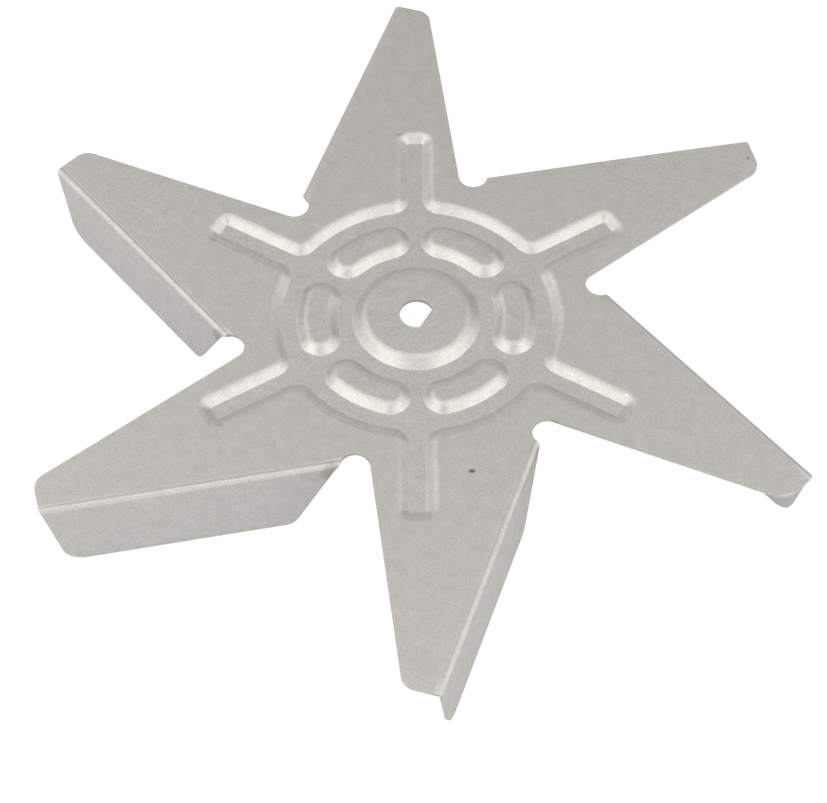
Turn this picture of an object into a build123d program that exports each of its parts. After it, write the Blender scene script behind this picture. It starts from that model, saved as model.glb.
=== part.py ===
from build123d import *
from math import cos, degrees, radians, sin, sqrt, tan
import os

# Axial fan impeller pressed from one sheet: six blades with folded flanges around an embossed hub.
# Millimetres and degrees. +Z is the bore axis, and the origin lies on it in the hub's underside.
# A straight edge of a blade is given by the direction of its normal and its distance from the axis,
# for the blade that points along +X; the other blades are turned copies.

# Sheet and hub bore
sheet = 0.7
bore_radius = 3.03
bore_flat_distance = 1.97
bore_flat_direction = 0.0

# Blades
blade_count = 6
trailing_edge_direction = -82.85
trailing_edge_distance = 11.87
bend_line_direction = 70.2
bend_line_distance = 28.9
tip_edge_direction = -15.9
tip_edge_distance = 71.2
tip_corner_radius = 3.0

# Round relief between a blade's trailing edge and the root of the next flange
relief_radius = 2.65
relief_distance = 33.5

# Flange folded down along the bend line
flange_depth = 15.5
bend_inner_radius = 0.65
flange_root_lean = 28.2
flange_tip_lean = 10.0
flange_root_corner = 2.5
flange_tip_corner = 4.0

# Recessed ring and its radial ribs
pan_depth = 1.0
pan_floor_radius = 24.0
pan_wall_angle = 31.0
pan_edge_radius = 2.6
rib_direction = 0.0
rib_floor_width = 2.8
rib_reach = 40.5
rib_end_corner = 0.4
rib_root_radius = 3.2

# Raised disc round the bore
hub_height = 1.4
hub_base_radius = 11.3
hub_wall_angle = 34.0
hub_edge_radius = 2.6

# Raised beads in the ring, one between each pair of ribs
bead_height = 1.15
bead_inner_radius = 14.0
bead_outer_radius = 21.2
bead_length = 16.2
bead_wall_angle = 36.0
bead_edge_radius = 2.2

# Derived sizes
pitch = 360 / blade_count
bend_outer_radius = bend_inner_radius + sheet
pan_floor = sheet - hub_height
blade_top = pan_floor + pan_depth
trailing_edge = (trailing_edge_direction, trailing_edge_distance)
bend_line = (bend_line_direction, bend_line_distance)
bend_start = (bend_line_direction, bend_line_distance - bend_outer_radius)
tip_edge = (tip_edge_direction, tip_edge_distance)
rib_count = blade_count
overrun = 1.0


def unit(direction):
    return Vector(cos(radians(direction)), sin(radians(direction)))


def turned(point, blade):
    return point.rotate(Axis.Z, blade * pitch)


def crossing(first, second):
    """Point where two straight edges, each (normal direction, distance), cross."""
    (a, p), (b, q) = first, second
    spread = sin(radians(b - a))
    x = (p * sin(radians(b)) - q * sin(radians(a))) / spread
    y = (q * cos(radians(a)) - p * cos(radians(b))) / spread
    return Vector(x, y)


def relief_centre():
    """Centre of the relief on a blade's trailing side, which the trailing edge runs tangent to."""
    across = trailing_edge_distance + relief_radius
    along = sqrt(relief_distance**2 - across**2)
    direction = unit(trailing_edge_direction)
    return direction * across + direction.rotate(Axis.Z, 90) * along


def across_bend():
    """Direction square to the bend line, away from the axis."""
    return unit(bend_line_direction)


def towards_tip():
    """Direction along the bend line, from the relief to the tip."""
    return across_bend().rotate(Axis.Z, -90)


def along_bend(point):
    """Distance of a point along the bend line, from the foot of the axis towards the tip."""
    return point.dot(towards_tip())


def beyond_bend(point):
    """Distance of a point outside the bend line."""
    return point.dot(across_bend()) - bend_line_distance


def flange_root():
    """Where the blade's edge meets the start of the bend, on the relief nearest the root."""
    centre = turned(relief_centre(), 1)
    depth = beyond_bend(centre) + bend_outer_radius
    return along_bend(centre) + sqrt(relief_radius**2 - depth**2)


def on_bend_start(distance):
    """Point on the line where the bend starts, at a distance along it."""
    return across_bend() * (bend_line_distance - bend_outer_radius) + towards_tip() * distance


def star_outline():
    """Outline of the flat sheet, which ends where each bend starts."""
    tip = crossing(trailing_edge, tip_edge)
    bend_tip = crossing(tip_edge, bend_start)
    root = on_bend_start(flange_root())
    centre = relief_centre()
    tangent = centre - unit(trailing_edge_direction) * relief_radius
    bottom = centre - centre.normalized() * relief_radius
    with BuildLine() as outline:
        for blade in range(blade_count):
            corners = [turned(p, blade) for p in (tangent, tip, bend_tip, root)]
            FilletPolyline(corners, radius=(tip_corner_radius, 0))
            ThreePointArc(corners[-1], turned(bottom, blade + 1), turned(tangent, blade + 1))
    return make_face(outline.edges())


def flange():
    """Bend and flange of one blade, cut to the outline that they have from the side."""
    along = towards_tip()
    outward = across_bend()
    foot = outward * bend_line_distance + Vector(0, 0, blade_top)
    root = flange_root()
    tip = along_bend(crossing(tip_edge, bend_start))
    centre = turned(relief_centre(), 1)
    lean = radians(flange_root_lean)
    tangent = along_bend(centre) + (relief_radius - beyond_bend(centre) * sin(lean)) / cos(lean)

    def root_at(depth):
        return (tangent + depth * tan(lean), -depth)

    with BuildSketch(Plane(foot, x_dir=outward, z_dir=along)) as section:
        with BuildLine():
            outer = CenterArc((-bend_outer_radius, -bend_outer_radius), bend_outer_radius, 0, 90)
            inner = CenterArc((-bend_outer_radius, -bend_outer_radius), bend_inner_radius, 0, 90)
            Line(outer @ 1, inner @ 1)
            Polyline(outer @ 0, (0, -flange_depth), (-sheet, -flange_depth), inner @ 0)
        make_face()
    with BuildSketch(Plane(foot, x_dir=along, z_dir=-outward)) as side:
        with BuildLine():
            sides = FilletPolyline(
                root_at(bend_outer_radius),
                root_at(flange_depth),
                (tip - flange_depth * tan(radians(flange_tip_lean)), -flange_depth),
                (tip, 0),
                radius=(flange_root_corner, flange_tip_corner),
            )
            Polyline(sides @ 1, (root, 0), sides @ 0)
        make_face()
    bar = extrude(section.sketch, amount=tip, dir=along)
    return bar & extrude(side.sketch, amount=bend_outer_radius, dir=-outward)


def pan_outline(growth):
    """Floor of the ring and its ribs, seen from above and grown outwards."""
    ring = Circle(pan_floor_radius)
    rib = Pos(rib_reach / 2, 0) * Rectangle(rib_reach, rib_floor_width)
    rib = fillet(rib.vertices().group_by(Axis.X)[-1], rib_end_corner)
    plan = ring + [Rot(0, 0, rib_direction + i * pitch) * rib for i in range(rib_count)]
    roots = [v for v in plan.vertices() if abs(Vector(v).length - pan_floor_radius) < rib_end_corner]
    return offset(fillet(roots, rib_root_radius), growth)


def bead_outline(growth):
    """Base of one bead, an arc slot centred on +X."""
    middle = (bead_inner_radius + bead_outer_radius) / 2
    width = bead_outer_radius - bead_inner_radius
    half_sweep = degrees((bead_length - width) / 2 / middle)
    spine = CenterArc((0, 0), middle, -half_sweep, 2 * half_sweep)
    return SlotArc(spine, width + 2 * growth)


def frustum(outline, bottom, height, taper):
    """Solid with sloping walls that rises from an outline at a given height."""
    return extrude(Pos(0, 0, bottom) * outline, amount=height, dir=(0, 0, 1), taper=taper)


def corner_shift(wall_angle):
    """How far a corner moves sideways from one face of the sheet to the other."""
    return sheet * tan(radians(wall_angle / 2))


def edges_at(solid, height, inside):
    """Edges that lie at one height and inside a radius."""
    level = solid.edges().filter_by_position(Axis.Z, height - 1e-4, height + 1e-4)
    return [e for e in level if max(Vector(v).length for v in e.vertices()) < inside]


def pressed_disc():
    """Round disc of sheet, larger than the blades, with the ring and ribs pressed down into it."""
    blank_radius = crossing(tip_edge, bend_line).length + overrun
    taper = pan_wall_angle - 90
    disc = extrude(Pos(0, 0, blade_top - sheet) * Circle(blank_radius), amount=sheet)
    disc += frustum(pan_outline(corner_shift(pan_wall_angle)), pan_floor - sheet, pan_depth, taper)
    disc -= frustum(pan_outline(0), pan_floor, pan_depth, taper)
    return fillet(edges_at(disc, blade_top, blank_radius - overrun), pan_edge_radius)


def raised_form(outline, height, wall_angle, edge_radius):
    """Solid above the pan floor and hollow below the sheet that make one raised form."""
    form = frustum(outline(0), pan_floor, height, 90 - wall_angle)
    form = fillet(form.edges().group_by(Axis.Z)[-1], edge_radius)
    inner_outline = outline(-corner_shift(wall_angle))
    return form, frustum(inner_outline, pan_floor - sheet, height, 90 - wall_angle)


def hub_outline(growth):
    return Circle(hub_base_radius + growth)


def bore_tool():
    """D-shaped hole for the motor shaft."""
    with BuildSketch() as shape:
        Circle(bore_radius)
        with Locations(unit(bore_flat_direction) * (bore_flat_distance + bore_radius)):
            Rectangle(2 * bore_radius, 2 * bore_radius, rotation=bore_flat_direction, mode=Mode.SUBTRACT)
    return extrude(shape.sketch, amount=overrun + sheet, both=True)


def impeller():
    hub, hub_hollow = raised_form(hub_outline, hub_height, hub_wall_angle, hub_edge_radius)
    bead, bead_hollow = raised_form(bead_outline, bead_height, bead_wall_angle, bead_edge_radius)
    between_ribs = [Rot(0, 0, rib_direction + (i + 0.5) * pitch) for i in range(rib_count)]
    body = pressed_disc() + [hub] + [turn * bead for turn in between_ribs]
    body = body - [hub_hollow] - [turn * bead_hollow for turn in between_ribs]
    body &= extrude(star_outline(), amount=flange_depth, dir=(0, 0, 1), both=True)
    body += [Rot(0, 0, i * pitch) * flange() for i in range(blade_count)]
    return body - bore_tool()


os.makedirs("parts", exist_ok=True)
export_step(impeller(), "parts/impeller.step")
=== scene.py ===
import bmesh
import bpy
from math import acos, atan2, ceil, cos, degrees, pi, radians, sin, sqrt, tan
from mathutils import Matrix, Vector
from mathutils.geometry import delaunay_2d_cdt


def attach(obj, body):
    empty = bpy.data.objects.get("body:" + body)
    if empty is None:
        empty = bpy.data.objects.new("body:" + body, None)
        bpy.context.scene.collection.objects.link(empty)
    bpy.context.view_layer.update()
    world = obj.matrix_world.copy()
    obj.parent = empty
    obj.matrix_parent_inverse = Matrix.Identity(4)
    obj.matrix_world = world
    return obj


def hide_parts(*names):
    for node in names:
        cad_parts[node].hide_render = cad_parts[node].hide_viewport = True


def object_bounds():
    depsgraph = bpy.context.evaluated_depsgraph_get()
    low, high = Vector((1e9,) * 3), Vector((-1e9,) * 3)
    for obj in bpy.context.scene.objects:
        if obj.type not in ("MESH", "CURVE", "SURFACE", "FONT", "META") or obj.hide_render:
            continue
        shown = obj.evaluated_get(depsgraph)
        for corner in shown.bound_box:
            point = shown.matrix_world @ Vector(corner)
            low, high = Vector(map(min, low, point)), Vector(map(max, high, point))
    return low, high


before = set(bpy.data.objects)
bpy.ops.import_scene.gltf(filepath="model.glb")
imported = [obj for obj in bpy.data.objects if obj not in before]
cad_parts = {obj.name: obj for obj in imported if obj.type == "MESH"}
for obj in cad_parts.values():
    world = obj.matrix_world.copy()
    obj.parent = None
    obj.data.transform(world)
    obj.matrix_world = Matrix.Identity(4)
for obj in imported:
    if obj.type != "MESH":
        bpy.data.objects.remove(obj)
cad_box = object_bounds()
MM = 0.001

# Axial fan impeller, pressed from one sheet. Sizes are in millimetres and degrees, and are those of the CAD
# model unless a comment says otherwise. A straight edge of a blade is given by the direction of its normal
# and its distance from the axis, for blade 0, which points along +X.

# Sheet and bore. The rounding of the cut edges isn't in the CAD model.
sheet = 0.7
cut_edge_radius = 0.18
bore_radius = 3.03
bore_flat_distance = 1.97

# Blades
blade_count = 6
trailing_edge_direction = -82.85
trailing_edge_distance = 11.87
bend_line_direction = 70.2
bend_line_distance = 28.9
tip_edge_direction = -15.9
tip_edge_distance = 71.2
tip_corner_radius = 3.0
relief_radius = 2.65
relief_distance = 33.5

# Flanges. The bend is tighter than the CAD model's, and the depth keeps the opened flanges inside its box.
flange_depth = 15.48
bend_outer_radius = 0.95
flange_root_lean = 28.2
flange_tip_lean = 10.0
flange_root_corner = 2.5
flange_tip_corner = 4.0

# Shallow crease in the blade's face beside each bend, which the CAD model doesn't have
crease_width = 0.7
crease_depth = 0.022

# How the six blades differ in the photograph: how much shorter each tip is, how far its corner at the bend
# is worn back, how far it hangs down, and how many degrees its flange is from a square fold
tip_trims = (0.3, 1.25, 0.0, 0.5, 0.0, 0.0)
bend_corner_setbacks = (0.5, 1.0, 0.2, 0.6, 0.3, 0.1)
tip_sags = (0.0, 0.45, 0.0, 0.3, 0.0, 0.0)
flange_openings = (0.0, 0.0, 0.0, 0.5, 1.3, 1.5)

# Direction in which blade 0 lies as a whole, which tells whose blade a point is on
blade_middle_direction = 10.0

# Recessed ring with its ribs, raised hub, and raised beads in the ring, at the foot of their walls
pan_floor_radius = 24.0
pan_depth = 1.0
rib_half_width = 1.4
rib_reach = 40.5
rib_end_corner = 0.4
rib_root_radius = 3.2
hub_base_radius = 11.3
hub_height = 1.4
bead_middle_radius = 17.6
bead_half_width = 3.6
bead_half_length = 8.1
bead_height = 1.15

# Embossed walls: (height, wall angle, radius along the top). The CAD model has no radius along the foot.
pan_wall = (pan_depth, 31.0, 2.6)
hub_wall = (hub_height, 34.0, 2.6)
bead_wall = (bead_height, 36.0, 2.2)
wall_foot_radius = 0.35

# Derived sizes. Heights are those of the top surface.
pitch = 360 / blade_count
trailing_edge = (trailing_edge_direction, trailing_edge_distance)
bend_start = bend_line_distance - bend_outer_radius
crease_start = bend_start - crease_width
pan_floor = sheet - hub_height
blade_top = pan_floor + pan_depth
axis = Vector((0, 0))

# Fineness of the mesh, and how near its points are when they are joined
arc_step = 6.0
wall_steps = 6
crease_steps = 6
bend_steps = 10
flange_steps = 3
corner_steps = 12
flange_columns = 14
cut_edge_steps = 3
cut_edge_angle = 50.0
join_distance = 0.001

# How delaunay_2d_cdt fills a flat face: its output type for triangles inside the edges, and its tolerance
fill_inside_edges = 1
fill_tolerance = 1e-5

# Camera, aimed at a point in the plane of the blades
view_azimuth = -60.0
view_elevation = 55.54
view_roll = -0.43
view_target = (8.73 * MM, -16.44 * MM, 0.3 * MM)
view_distance = 394.5 * MM
view_lens = 99.83
sensor_width = 36.0

# Light tent: its white, of which metal mirrors a share, and rings of soft patches of light on it, each
# (elevation, reach, strengths by compass angle). Compass -90 is the camera's side. Reach is the angle from
# a patch's middle to where it has faded out.
white = (1, 1, 1, 1)
tent_mirrored_share = 0.165
patch_color = (1.281, 1.228, 1.164, 1)
patch_rings = [
    (10, 34, {-90: 0.82, 0: 0.97, 90: 0.47, 180: 0.73}),
    (38, 34, {-135: 1.36, -45: 1.23, 0: 0.27, 45: 0.42, 135: 0.61, 180: 0.22}),
    (66, 32, {0: 0.86, 90: 0.16, 180: 0.9}),
    (88, 28, {0: 0.19}),
]

# Floor: its own colour, and the white glow that the camera and reflections see, each (strength, share)
floor_size = 6.0
floor_color = (0.72, 0.72, 0.71, 1)
floor_seen_glow = (1.08, 0.9)
floor_mirrored_glow = (0.85, 0.4)

# Metal: darkest and lightest tone, and the fine grain and broad mottling that run between them
metal_roughness = 0.45
metal_dark = (0.53, 0.53, 0.525, 1)
metal_light = (0.88, 0.88, 0.87, 1)
tone_range = (0.2, 0.8)
grain_scale = 3500.0
grain_detail = 2.0
mottle_scale = 420.0
mottle_detail = 3.0
mottle_share = 0.3
noise_roughness = 0.6

# Dark marks and a painted glint on the top face: (x, y, half length, half width, direction of the length,
# cover)
dark_mark_color = (0.16, 0.15, 0.14, 1)
dark_face_marks = [
    # A small dark speck and a dark dash, stains on the metal
    (24.34, -23.93, 0.75, 0.5, 30, 0.8),
    (35.56, 62.04, 0.42, 0.2, 30, 0.95),
    # Faint darker patches at the ends of three ribs
    (-23.4, 34.9, 1.0, 0.45, 30, 0.22),
    (-40.4, -3.4, 1.1, 0.55, 0, 0.2),
    (-17.8, -36.9, 1.1, 0.5, 10, 0.16),
]
# Painted glint: a near-white patch of base colour on the rib wall at the end of the rib along +X, standing
# in for a highlight there
glint_color = (1.0, 0.99, 0.97, 1)
glints = [(39.9, 2.89, 0.35, 0.3, 0, 1.0)]

# How far a mark reaches above and below the face, and the share of its reach before it starts to fade
mark_height = 0.6
mark_core = 0.5

# Brown tint where the metal is stretched, on the flanges beside the reliefs: (blade, reach, cover)
tint_color = (0.40, 0.35, 0.30, 1)
tint_depth = 1.8
tints = [(3, 2.4, 0.5), (4, 2.6, 0.55), (5, 2.0, 0.35)]

# Which sockets of a Mix node are its two inputs and its result
mix_sockets = {"FLOAT": (2, 3, 0), "RGBA": (6, 7, 2)}


def turned_to_view(vector):
    """Direction given with +Y away from the camera, in the frame of the part."""
    return Matrix.Rotation(radians(view_azimuth + 90), 3, "Z") @ Vector(vector)


def aim(backward, upward):
    """Rotation of a camera from its backward and rough upward directions."""
    back = backward.normalized()
    right = upward.cross(back).normalized()
    return Matrix((right, back.cross(right), back)).transposed()


def make_camera():
    data = bpy.data.cameras.new("camera")
    data.lens = view_lens
    data.sensor_width = sensor_width
    camera = bpy.data.objects.new("camera", data)
    bpy.context.scene.collection.objects.link(camera)
    tilt = radians(view_elevation)
    back = turned_to_view((0, -cos(tilt), sin(tilt)))
    turn = aim(back, Vector((0, 0, 1))) @ Matrix.Rotation(radians(view_roll), 3, "Z")
    camera.matrix_world = Matrix.Translation(Vector(view_target) + back * view_distance) @ turn.to_4x4()
    bpy.context.scene.camera = camera


def unit(direction):
    return Vector((cos(radians(direction)), sin(radians(direction))))


def turned(point, angle):
    return Matrix.Rotation(radians(angle), 2) @ point


def direction_of(vector):
    return degrees(atan2(vector.y, vector.x))


def crossing(first, second):
    """Point where two straight edges, each (normal direction, distance), cross."""
    (a, p), (b, q) = first, second
    spread = sin(radians(b - a))
    x = (p * sin(radians(b)) - q * sin(radians(a))) / spread
    y = (q * cos(radians(a)) - p * cos(radians(b))) / spread
    return Vector((x, y))


def arc(centre, radius, start, end):
    """Points and normals along an arc, from one direction to another."""
    count = max(2, ceil(abs(end - start) / arc_step))
    ways = [unit(start + (end - start) * i / count) for i in range(count + 1)]
    return [(centre + way * radius, way) for way in ways]


def hollow_arc(centre, radius, start, end):
    """The same for an arc whose material lies on the side away from its centre."""
    return [(point, -way) for point, way in arc(centre, radius, start, end)]


def arc_points(centre, radius, start, end):
    """The points of an arc alone."""
    return [point for point, way in arc(centre, radius, start, end)]


class Blade:
    """Edges of one blade, and the two ends of its flange at any depth below the blade's face."""

    def __init__(self, number):
        self.turn = number * pitch
        across = trailing_edge_distance + relief_radius
        along = sqrt(relief_distance**2 - across**2)
        relief = unit(trailing_edge_direction) * across + unit(trailing_edge_direction + 90) * along
        self.next_relief = turned(relief, pitch)
        self.outward = unit(bend_line_direction)
        self.tipward = unit(bend_line_direction - 90)
        self.tip_edge = (tip_edge_direction, tip_edge_distance - tip_trims[number])
        self.setback = bend_corner_setbacks[number]
        self.opening = radians(flange_openings[number])
        self.root, self.tip = self.face_ends(bend_start)

    def at(self, along, out):
        """Point from its distances along the bend line and from the axis."""
        return self.tipward * along + self.outward * out

    def place(self, ends, out, share):
        """Point at a share of the way from the tip's end to the root's end, in the part's frame."""
        root, tip = ends
        return turned(self.at(tip + (root - tip) * share, out), self.turn)

    def face_ends(self, out):
        """Where the flat face starts and ends along the bend, at one distance from the axis."""
        depth = self.next_relief.dot(self.outward) - out
        root = self.next_relief.dot(self.tipward) + sqrt(relief_radius**2 - depth**2)
        return root, crossing(self.tip_edge, (bend_line_direction, out)).dot(self.tipward)

    def root_line(self, depth):
        """Leaning edge at the flange's root, which runs tangent to the relief."""
        lean = radians(flange_root_lean)
        beyond = self.next_relief.dot(self.outward) - bend_line_distance
        tangent = self.next_relief.dot(self.tipward) + (relief_radius - beyond * sin(lean)) / cos(lean)
        return tangent + depth * tan(lean)

    def tip_line(self, depth):
        """Leaning edge at the flange's tip, below the worn corner at the bend."""
        worn = self.setback * min(depth / bend_outer_radius, 1)
        return self.tip - worn - depth * tan(radians(flange_tip_lean))

    def flange_ends(self, depth):
        """Where the flange starts and ends along the bend at one depth."""
        root = rounded_end(self.root_line, depth, flange_root_lean, flange_root_corner, 1)
        if depth < bend_outer_radius:
            root = self.root + (self.root_line(bend_outer_radius) - self.root) * depth / bend_outer_radius
        return root, rounded_end(self.tip_line, depth, flange_tip_lean, flange_tip_corner, -1)


def rounded_end(line, depth, lean, radius, side):
    """End of a flange that leans inwards and meets its free edge in a rounded corner."""
    run = radius * tan(radians(90 - lean) / 2)
    if depth < flange_depth - run * cos(radians(lean)):
        return line(depth)
    rise = max(radius**2 - (depth - flange_depth + radius) ** 2, 0)
    return line(flange_depth) + side * (run - sqrt(rise))


def tip_corner(blade):
    """Rounded corner between a blade's trailing edge and its tip edge."""
    trailing_way = unit(trailing_edge_direction)
    tip_way = unit(tip_edge_direction)
    corner = crossing(trailing_edge, blade.tip_edge)
    centre = corner - (trailing_way + tip_way) * tip_corner_radius / (1 + trailing_way.dot(tip_way))
    return arc_points(centre, tip_corner_radius, trailing_edge_direction, tip_edge_direction)


def relief_edge(blade, start):
    """Relief after a blade, from a point on it to where the next blade's trailing edge begins."""
    first = direction_of(start - blade.next_relief)
    last = trailing_edge_direction + pitch - 180
    return arc_points(blade.next_relief, relief_radius, first, last)[1:]


def star_outline():
    """Outline of the flat face, which ends where each crease starts."""
    points = []
    for number in range(blade_count):
        blade = Blade(number)
        root, tip = blade.face_ends(crease_start)
        columns = [tip + (root - tip) * i / flange_columns for i in range(flange_columns + 1)]
        edge = tip_corner(blade) + [blade.at(along, crease_start) for along in columns]
        edge += relief_edge(blade, edge[-1])
        points += [turned(point, blade.turn) for point in edge]
    return points


def pan_outline():
    """Points and normals round the foot of the ring's wall, with its ribs."""
    middle = rib_half_width + rib_root_radius
    reach = pan_floor_radius + rib_root_radius
    root = Vector((sqrt(reach**2 - middle**2), middle))
    spread = direction_of(root)
    half = arc(axis, pan_floor_radius, pitch / 2, spread)
    half += hollow_arc(root, rib_root_radius, spread + 180, 270)
    corner = Vector((rib_reach - rib_end_corner, rib_half_width - rib_end_corner))
    half += arc(corner, rib_end_corner, 90, 0)
    mirrored = [(Vector((p.x, -p.y)), Vector((n.x, -n.y))) for p, n in reversed(half[1:])]
    loop = []
    for rib in range(blade_count):
        loop += [(turned(p, -rib * pitch), turned(n, -rib * pitch)) for p, n in half + mirrored]
    return loop


def bead_outline(angle):
    """Points and normals round the foot of one bead, an arc slot."""
    half_sweep = degrees((bead_half_length - bead_half_width) / bead_middle_radius)
    first, last = (unit(side * half_sweep) * bead_middle_radius for side in (-1, 1))
    loop = arc(axis, bead_middle_radius + bead_half_width, -half_sweep, half_sweep)
    loop += arc(last, bead_half_width, half_sweep, half_sweep + 180)[1:]
    loop += hollow_arc(axis, bead_middle_radius - bead_half_width, half_sweep, -half_sweep)[1:]
    loop += arc(first, bead_half_width, 180 - half_sweep, 360 - half_sweep)[1:-1]
    return [(turned(p, angle), turned(n, angle)) for p, n in loop]


def hub_outline():
    """Points and normals round the foot of the hub."""
    return arc(axis, hub_base_radius, 0, 360)[:-1]


def bore_outline():
    """Points round the D-shaped bore, with its flat towards +X."""
    half = degrees(acos(bore_flat_distance / bore_radius))
    return arc_points(axis, bore_radius, half, 360 - half)


def wall_profile(height, angle, top_radius):
    """Section of an embossed wall: (distance from the corner at its foot, height) of each step."""
    half = tan(radians(angle) / 2)
    far = height / tan(radians(angle)) + top_radius * half
    tilts = [radians(angle) * i / wall_steps for i in range(wall_steps + 1)]
    foot = [(wall_foot_radius * (sin(t) - half), wall_foot_radius * (1 - cos(t))) for t in tilts[::2]]
    top = [(far - top_radius * sin(t), height - top_radius * (1 - cos(t))) for t in reversed(tilts)]
    return foot + top


def add_loop(bm, points, height):
    return [bm.verts.new((p.x, p.y, height)) for p in points]


def encloses(loop, point):
    """Whether a closed loop of vertices runs round a point, seen from above."""
    crossings = 0
    for first, second in zip(loop, loop[1:] + loop[:1]):
        a, b = first.co, second.co
        if (a.y > point.y) != (b.y > point.y):
            meeting = a.x + (point.y - a.y) * (b.x - a.x) / (b.y - a.y)
            crossings += meeting > point.x
    return crossings % 2 == 1


def fill_flat(bm, outer, holes):
    """Flat face between an outer loop of vertices and the holes in it."""
    verts = []
    edges = []
    for loop in [outer] + holes:
        first = len(verts)
        edges += [(first + i, first + (i + 1) % len(loop)) for i in range(len(loop))]
        verts += loop
    flat = [vert.co.xy for vert in verts]
    filled = delaunay_2d_cdt(flat, edges, [], fill_inside_edges, fill_tolerance)
    triangles, sources = filled[2:4]
    for triangle in triangles:
        corners = [verts[sources[i][0]] for i in triangle]
        middle = sum((vert.co for vert in corners), Vector((0, 0, 0))) / 3
        if encloses(outer, middle) and not any(encloses(hole, middle) for hole in holes):
            bm.faces.new(corners)


def add_wall(bm, outline, wall, side):
    """Wall that rises from an outline, outwards (side 1) or inwards (-1). Returns its foot and its top."""
    loops = []
    for distance, height in wall_profile(*wall):
        points = [p + n * side * distance for p, n in outline]
        loops.append(add_loop(bm, points, pan_floor + height))
    for lower, upper in zip(loops, loops[1:]):
        for i in range(len(lower)):
            bm.faces.new((lower[i - 1], lower[i], upper[i], upper[i - 1]))
    return loops[0], loops[-1]


def crease_rows(blade):
    """Rows (ends along the bend, distance from the axis, depth) across the crease, up to the bend."""
    rows = []
    for i in range(crease_steps + 1):
        out = bend_start - crease_width * (1 - i / crease_steps)
        rows.append((blade.face_ends(out), out, crease_depth * sin(pi * i / crease_steps) ** 2))
    return rows


def flange_rows(blade):
    """The same rows round the bend and down the flange."""
    turns = [pi / 2 * i / bend_steps for i in range(1, bend_steps + 1)]
    depths = [bend_outer_radius * (1 - cos(t)) for t in turns]
    outs = [bend_outer_radius * (sin(t) - 1) for t in turns]
    straight = flange_depth - flange_tip_corner - bend_outer_radius
    down = [straight * i / flange_steps for i in range(1, flange_steps + 1)]
    quarter = [pi / 2 * i / corner_steps for i in range(1, corner_steps + 1)]
    down += [straight + flange_tip_corner * sin(t) for t in quarter]
    depths += [bend_outer_radius + step for step in down]
    outs += [step * tan(blade.opening) for step in down]
    return [(blade.flange_ends(depth), bend_line_distance + out, depth) for depth, out in zip(depths, outs)]


def add_flange(bm, number):
    """Outer face of one crease, bend and flange."""
    blade = Blade(number)
    grid = []
    for ends, out, depth in crease_rows(blade) + flange_rows(blade):
        points = [blade.place(ends, out, i / flange_columns) for i in range(flange_columns + 1)]
        grid.append(add_loop(bm, points, blade_top - depth))
    for upper, lower in zip(grid, grid[1:]):
        for i in range(flange_columns):
            bm.faces.new((upper[i], upper[i + 1], lower[i + 1], lower[i]))


def sag_at(point):
    """How far the blade's face hangs down at a point, seen from above."""
    if point.length < relief_distance:
        return 0.0
    number = round((direction_of(point) - blade_middle_direction) / pitch) % blade_count
    return tip_sags[number] * ((point.length - relief_distance) / (tip_edge_distance - relief_distance)) ** 2


def lower_tips(bm):
    """Let the blades hang down towards their tips. The free edges of the flanges stay where they are."""
    for vert in bm.verts:
        vert.co.z -= sag_at(vert.co.xy) * (1 - (blade_top - vert.co.z) / flange_depth)


def add_outer_face(bm):
    """Outer face of the sheet: the embossed walls, the flat faces between them, and the flanges."""
    pan_foot, pan_top = add_wall(bm, pan_outline(), pan_wall, 1)
    hub_foot, hub_top = add_wall(bm, hub_outline(), hub_wall, -1)
    floor_holes = [hub_foot]
    for bead in range(blade_count):
        foot, top = add_wall(bm, bead_outline((bead + 0.5) * pitch), bead_wall, -1)
        floor_holes.append(foot)
        fill_flat(bm, top, [])
    fill_flat(bm, pan_foot, floor_holes)
    fill_flat(bm, hub_top, [add_loop(bm, bore_outline(), pan_floor + hub_height)])
    fill_flat(bm, add_loop(bm, star_outline(), blade_top), [pan_top])
    for number in range(blade_count):
        add_flange(bm, number)


def make_mesh():
    """Mesh of the outer face, joined up, facing outwards and in metres."""
    bm = bmesh.new()
    add_outer_face(bm)
    lower_tips(bm)
    bmesh.ops.remove_doubles(bm, verts=bm.verts, dist=join_distance)
    bmesh.ops.recalc_face_normals(bm, faces=bm.faces)
    if sum(face.normal.z * face.calc_area() for face in bm.faces) < 0:
        bmesh.ops.reverse_faces(bm, faces=bm.faces)
    bmesh.ops.scale(bm, vec=(MM, MM, MM), verts=bm.verts)
    mesh = bpy.data.meshes.new("impeller_sheet")
    bm.to_mesh(mesh)
    bm.free()
    mesh.shade_smooth()
    return mesh


def add_modifier(piece, kind, **settings):
    modifier = piece.modifiers.new(kind.lower(), kind)
    for name, value in settings.items():
        setattr(modifier, name, value)


def make_impeller(metal):
    """The pressed sheet: its outer face, then its thickness and the rounding of its cut edges."""
    piece = bpy.data.objects.new("impeller_sheet", make_mesh())
    piece.data.materials.append(metal)
    bpy.context.scene.collection.objects.link(piece)
    add_modifier(piece, "SOLIDIFY", thickness=sheet * MM, offset=-1, use_even_offset=True)
    rounding = {"width": cut_edge_radius * MM, "segments": cut_edge_steps}
    add_modifier(piece, "BEVEL", limit_method="ANGLE", angle_limit=radians(cut_edge_angle), **rounding)
    add_modifier(piece, "WEIGHTED_NORMAL")
    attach(piece, "root")
    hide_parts("impeller")


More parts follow.
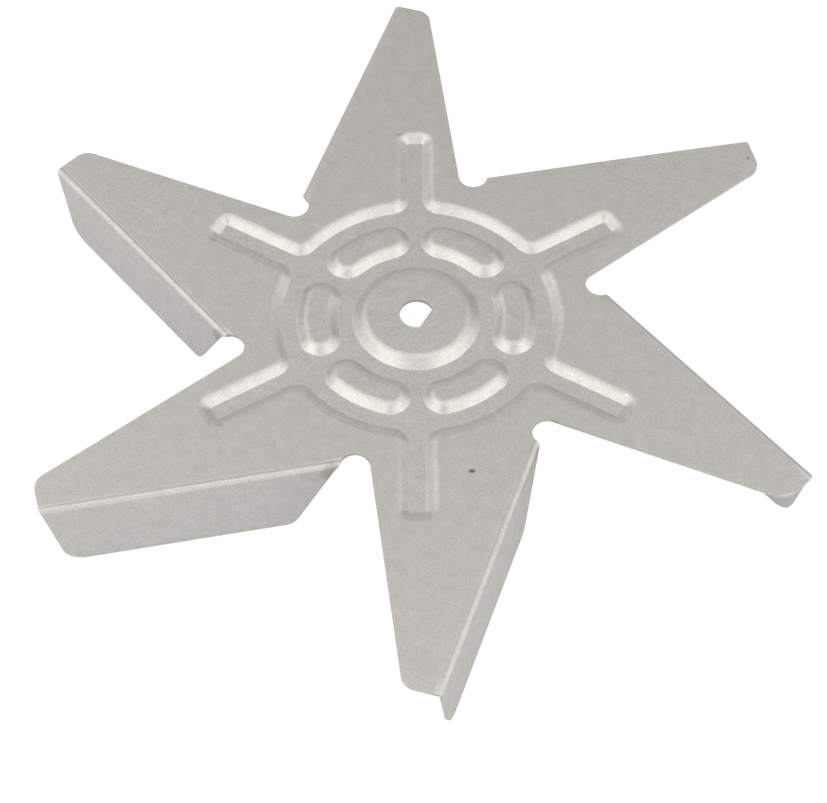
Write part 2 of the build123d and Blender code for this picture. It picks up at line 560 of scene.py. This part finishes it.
class Nodes:
    """Short ways to add and join shader nodes."""

    def __init__(self, tree):
        self.tree = tree
        tree.nodes.clear()

    def put(self, value, socket):
        """Join another node's socket to this one, or set its value."""
        if isinstance(value, bpy.types.NodeSocket):
            self.tree.links.new(value, socket)
        else:
            socket.default_value = value

    def add(self, kind, settings=None, **inputs):
        """Add a node with its settings, and its inputs by name, with a _ for each space."""
        node = self.tree.nodes.new(kind)
        for name, value in (settings or {}).items():
            setattr(node, name, value)
        for name, value in inputs.items():
            self.put(value, node.inputs[name.replace("_", " ")])
        return node

    def math(self, operation, *values):
        node = self.add("ShaderNodeMath", {"operation": operation})
        for value, socket in zip(values, node.inputs):
            self.put(value, socket)
        return node.outputs[0]

    def vector_math(self, operation, *values):
        """One number worked out from vectors."""
        node = self.add("ShaderNodeVectorMath", {"operation": operation})
        for value, socket in zip(values, node.inputs):
            self.put(value, socket)
        return node.outputs["Value"]

    def ramp(self, value, source, target, kind="LINEAR"):
        """Value moved from one range to another and held inside it."""
        node = self.add("ShaderNodeMapRange", {"interpolation_type": kind}, Value=value)
        for name, limit in zip(("From Min", "From Max", "To Min", "To Max"), (*source, *target)):
            self.put(limit, node.inputs[name])
        return node.outputs[0]

    def noise(self, place, scale, detail):
        settings = {"Scale": scale, "Detail": detail, "Roughness": noise_roughness}
        return self.add("ShaderNodeTexNoise", Vector=place, **settings).outputs["Fac"]

    def mix(self, kind, factor, first, second):
        """Mix of two numbers (kind FLOAT) or two colours (kind RGBA)."""
        node = self.add("ShaderNodeMix", {"data_type": kind}, Factor=factor)
        first_socket, second_socket, result = mix_sockets[kind]
        self.put(first, node.inputs[first_socket])
        self.put(second, node.inputs[second_socket])
        return node.outputs[result]

    def mix_shader(self, factor, first, second):
        node = self.add("ShaderNodeMixShader", Fac=factor)
        self.tree.links.new(first.outputs[0], node.inputs[1])
        self.tree.links.new(second.outputs[0], node.inputs[2])
        return node

    def ray(self, kind):
        """1 where the ray that meets the surface is of one kind, and else 0."""
        return self.add("ShaderNodeLightPath").outputs[f"Is {kind} Ray"]

    def output(self, kind, shader):
        node = self.add("ShaderNodeOutput" + kind)
        self.tree.links.new(shader.outputs[0], node.inputs["Surface"])


def way_to(compass, elevation):
    """Direction towards a place on the tent, in the frame of the part."""
    flat = cos(radians(elevation))
    way = (flat * cos(radians(compass)), flat * sin(radians(compass)), sin(radians(elevation)))
    return turned_to_view(way)


def make_world():
    """White tent lit by soft patches: the camera sees its white, and metal mirrors a share of it."""
    world = bpy.data.worlds.new("studio")
    bpy.context.scene.world = world
    world.use_nodes = True
    nodes = Nodes(world.node_tree)
    direction = nodes.add("ShaderNodeTexCoord").outputs["Generated"]
    strength = 0.0
    for elevation, reach, strengths in patch_rings:
        for compass, patch_strength in strengths.items():
            nearness = nodes.vector_math("DOT_PRODUCT", direction, way_to(compass, elevation))
            glow = nodes.ramp(nearness, (cos(radians(reach)), 1.0), (0.0, patch_strength), "SMOOTHSTEP")
            strength = nodes.math("ADD", glow, strength)
    patches = nodes.add("ShaderNodeBackground", Color=patch_color, Strength=strength)
    tent = nodes.add("ShaderNodeBackground", Color=white, Strength=1.0)
    seen = nodes.math("ADD", nodes.ray("Camera"), nodes.ray("Transmission"))
    mirrored = nodes.math("MULTIPLY", nodes.ray("Glossy"), tent_mirrored_share)
    nodes.output("World", nodes.mix_shader(nodes.math("ADD", seen, mirrored), patches, tent))


def make_floor():
    """Floor at the flanges' free edges, white to the camera apart from part of the shadow."""
    bpy.ops.mesh.primitive_plane_add(size=floor_size, location=(0, 0, cad_box[0].z))
    floor = bpy.context.object
    floor.name = "floor"
    material = bpy.data.materials.new("floor")
    material.use_nodes = True
    nodes = Nodes(material.node_tree)
    lit = nodes.add("ShaderNodeBsdfDiffuse", Color=floor_color)
    mirrored = nodes.math("ADD", nodes.ray("Glossy"), nodes.ray("Transmission"))
    glows = ((mirrored, floor_mirrored_glow), (nodes.ray("Camera"), floor_seen_glow))
    for rays, (strength, share) in glows:
        glow = nodes.add("ShaderNodeEmission", Color=white, Strength=strength)
        lit = nodes.mix_shader(nodes.math("MULTIPLY", rays, share), lit, glow)
    nodes.output("Material", lit)
    floor.data.materials.append(material)


def add_mark(nodes, color, mark, mark_color, height, half_height):
    """Colour with one soft-edged oval mark laid over it."""
    x, y, half_length, half_width, direction, cover = mark
    place = nodes.add("ShaderNodeMapping", {"vector_type": "TEXTURE"})
    nodes.put(nodes.add("ShaderNodeTexCoord").outputs["Object"], place.inputs["Vector"])
    place.inputs["Location"].default_value = (x * MM, y * MM, height * MM)
    place.inputs["Rotation"].default_value = (0, 0, radians(direction))
    place.inputs["Scale"].default_value = (half_length * MM, half_width * MM, half_height * MM)
    away = nodes.vector_math("LENGTH", place.outputs[0])
    strength = nodes.ramp(away, (mark_core, 1.0), (cover, 0.0), "SMOOTHSTEP")
    return nodes.mix("RGBA", strength, color, mark_color)


def add_tints(nodes, color):
    """Colour with the brown tints laid over it."""
    for number, reach, cover in tints:
        blade = Blade(number)
        middle = turned(blade.at(blade.root_line(tint_depth), bend_line_distance), blade.turn)
        mark = (*middle, reach, reach, 0, cover)
        color = add_mark(nodes, color, mark, tint_color, blade_top - tint_depth, reach)
    return color


def add_face_marks(nodes, color, marks, mark_color):
    """Colour with marks on the top face laid over it."""
    for mark in marks:
        height = blade_top - sag_at(Vector(mark[:2]))
        color = add_mark(nodes, color, mark, mark_color, height, mark_height)
    return color


def make_metal():
    """Coated steel: fine grain and faint mottling over a matte sheen."""
    material = bpy.data.materials.new("coated_steel")
    material.use_nodes = True
    nodes = Nodes(material.node_tree)
    place = nodes.add("ShaderNodeTexCoord").outputs["Object"]
    grain = nodes.noise(place, grain_scale, grain_detail)
    mottle = nodes.noise(place, mottle_scale, mottle_detail)
    tone = nodes.ramp(nodes.mix("FLOAT", mottle_share, grain, mottle), tone_range, (0.0, 1.0))
    color = add_tints(nodes, nodes.mix("RGBA", tone, metal_dark, metal_light))
    # Dark marks: two stains, and faint darker patches at the ends of three ribs
    color = add_face_marks(nodes, color, dark_face_marks, dark_mark_color)
    # Painted glint: near-white colour standing in for a highlight by the end of the rib along +X
    color = add_face_marks(nodes, color, glints, glint_color)
    surface = {"Metallic": 1.0, "Roughness": metal_roughness, "Base_Color": color}
    nodes.output("Material", nodes.add("ShaderNodeBsdfPrincipled", **surface))
    return material


make_camera()
make_world()
make_floor()
make_impeller(make_metal())

scene = bpy.context.scene
scene.view_settings.view_transform = "Standard"
